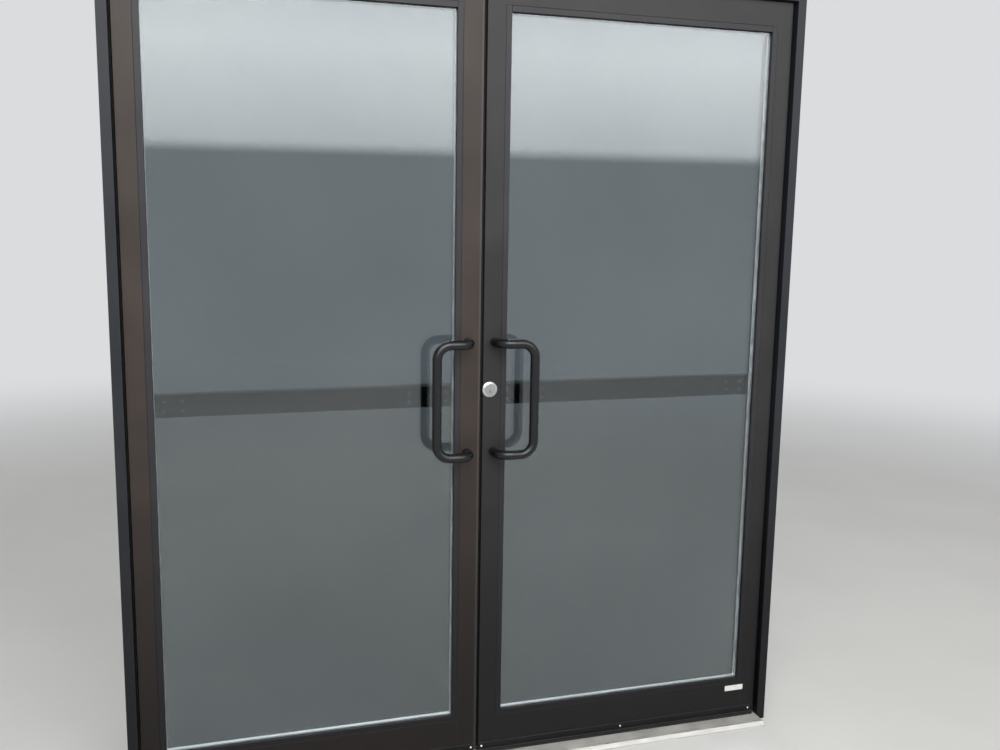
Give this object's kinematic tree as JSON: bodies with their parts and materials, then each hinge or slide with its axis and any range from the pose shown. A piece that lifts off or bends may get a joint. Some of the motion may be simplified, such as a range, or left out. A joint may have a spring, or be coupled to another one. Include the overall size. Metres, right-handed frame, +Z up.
{
  "type": "double glazed entrance door with frame",
  "caption": "Pair of outward-opening glazed aluminium doors in a slim frame with threshold, bent round pulls outside and touch-bar exit devices inside.",
  "frame": {"origin": "On the floor under the threshold, midway between the jambs, in the plane of the frame's front faces", "axes": "+X to the right along the wall as seen from outside, +Y into the building, +Z up"},
  "size_m": [1.8796, 0.1681, 2.1869],
  "materials": {
    "frame_paint": "satin dark grey paint on aluminium",
    "left_leaf_paint": "satin dark bronze grey paint on aluminium",
    "right_leaf_paint": "satin dark grey paint on aluminium",
    "mill_aluminium": "mill finish",
    "glass": "clear, lightly tinted",
    "gasket_rubber": "matt black",
    "brush_pile": "dense black bristle",
    "zinc_steel": "bright zinc",
    "pull_paint": "satin black",
    "device_paint": "satin dark bronze",
    "sweep_paint": "satin bluish black",
    "cylinder_metal": "satin chrome"
  },
  "bodies": {
    "frame": {"jamb_left": "frame_paint", "jamb_right": "frame_paint", "head": "frame_paint", "corner_blocks": "mill_aluminium", "threshold": "mill_aluminium", "head_stop": "frame_paint", "head_gasket": "gasket_rubber", "jamb_brushes": "brush_pile", "top_pivots": "zinc_steel", "bottom_pivots": "zinc_steel", "strike_plates": "zinc_steel"},
    "left_leaf": {"left_hinge_stile": "left_leaf_paint", "left_meeting_stile": "left_leaf_paint", "left_top_rail": "left_leaf_paint", "left_bottom_rail": "left_leaf_paint", "left_glazing_stops": "left_leaf_paint", "left_glazing_gaskets": "gasket_rubber", "left_outer_pane": "glass", "left_inner_pane": "glass", "left_spacer": "mill_aluminium", "left_tie_rods": "zinc_steel", "left_pivot_bushes": "zinc_steel", "left_pull_handle": "pull_paint", "left_exit_rail": "device_paint", "left_exit_case": "device_paint", "left_exit_bracket": "device_paint", "left_bolt_guides": "zinc_steel", "left_sweep_carrier": "sweep_paint", "left_sweep_fin": "gasket_rubber", "left_screws": "zinc_steel", "left_astragal": "frame_paint", "left_astragal_brush": "brush_pile"},
    "left_pad": {"left_exit_pad": "device_paint"},
    "left_top_rod": {"left_top_bolt": "zinc_steel"},
    "left_bottom_rod": {"left_bottom_bolt": "zinc_steel"},
    "right_leaf": {"right_hinge_stile": "right_leaf_paint", "right_meeting_stile": "right_leaf_paint", "right_top_rail": "right_leaf_paint", "right_bottom_rail": "right_leaf_paint", "right_glazing_stops": "right_leaf_paint", "right_glazing_gaskets": "gasket_rubber", "right_outer_pane": "glass", "right_inner_pane": "glass", "right_spacer": "mill_aluminium", "right_tie_rods": "zinc_steel", "right_pivot_bushes": "zinc_steel", "right_pull_handle": "pull_paint", "right_exit_rail": "device_paint", "right_exit_case": "device_paint", "right_exit_bracket": "device_paint", "right_bolt_guides": "zinc_steel", "right_sweep_carrier": "sweep_paint", "right_sweep_fin": "gasket_rubber", "right_screws": "zinc_steel", "right_cylinder_body": "cylinder_metal", "right_cylinder_collar": "cylinder_metal"},
    "right_pad": {"right_exit_pad": "device_paint"},
    "right_top_rod": {"right_top_bolt": "zinc_steel"},
    "right_bottom_rod": {"right_bottom_bolt": "zinc_steel"},
    "key_plug": {"right_cylinder_plug": "cylinder_metal"}
  },
  "joints": [
    {"name": "left_leaf_swing", "type": "hinge", "parent": "frame", "child": "left_leaf", "pos_m": [-0.8444, 0.03825, 0.0276], "axis": [0, 0, -1], "range_deg": [0, 105]},
    {"name": "right_leaf_swing", "type": "hinge", "parent": "frame", "child": "right_leaf", "pos_m": [0.8444, 0.03825, 0.0276], "axis": [0, 0, 1], "range_deg": [0, 105]},
    {"name": "left_pad_push", "type": "slide", "parent": "left_leaf", "child": "left_pad", "axis": [0, 1, 0], "range_m": [0, 0.016]},
    {"name": "left_top_bolt_throw", "type": "slide", "parent": "left_leaf", "child": "left_top_rod", "axis": [0, 0, 1], "range_m": [0, 0.02]},
    {"name": "left_bottom_bolt_throw", "type": "slide", "parent": "left_leaf", "child": "left_bottom_rod", "axis": [0, 0, -1], "range_m": [0, 0.02]},
    {"name": "right_pad_push", "type": "slide", "parent": "right_leaf", "child": "right_pad", "axis": [0, 1, 0], "range_m": [0, 0.016]},
    {"name": "right_top_bolt_throw", "type": "slide", "parent": "right_leaf", "child": "right_top_rod", "axis": [0, 0, 1], "range_m": [0, 0.02]},
    {"name": "right_bottom_bolt_throw", "type": "slide", "parent": "right_leaf", "child": "right_bottom_rod", "axis": [0, 0, -1], "range_m": [0, 0.02]},
    {"name": "key_turn", "type": "hinge", "parent": "right_leaf", "child": "key_plug", "pos_m": [0.026, 0.02, 1.076], "axis": [0, 1, 0], "range_deg": [-90, 90]}
  ],
  "couplings": [
    {"joint": "left_top_bolt_throw", "follows": "left_pad_push", "ratio": 1.25},
    {"joint": "left_bottom_bolt_throw", "follows": "left_pad_push", "ratio": 1.25},
    {"joint": "right_top_bolt_throw", "follows": "right_pad_push", "ratio": 1.25},
    {"joint": "right_bottom_bolt_throw", "follows": "right_pad_push", "ratio": 1.25}
  ]
}
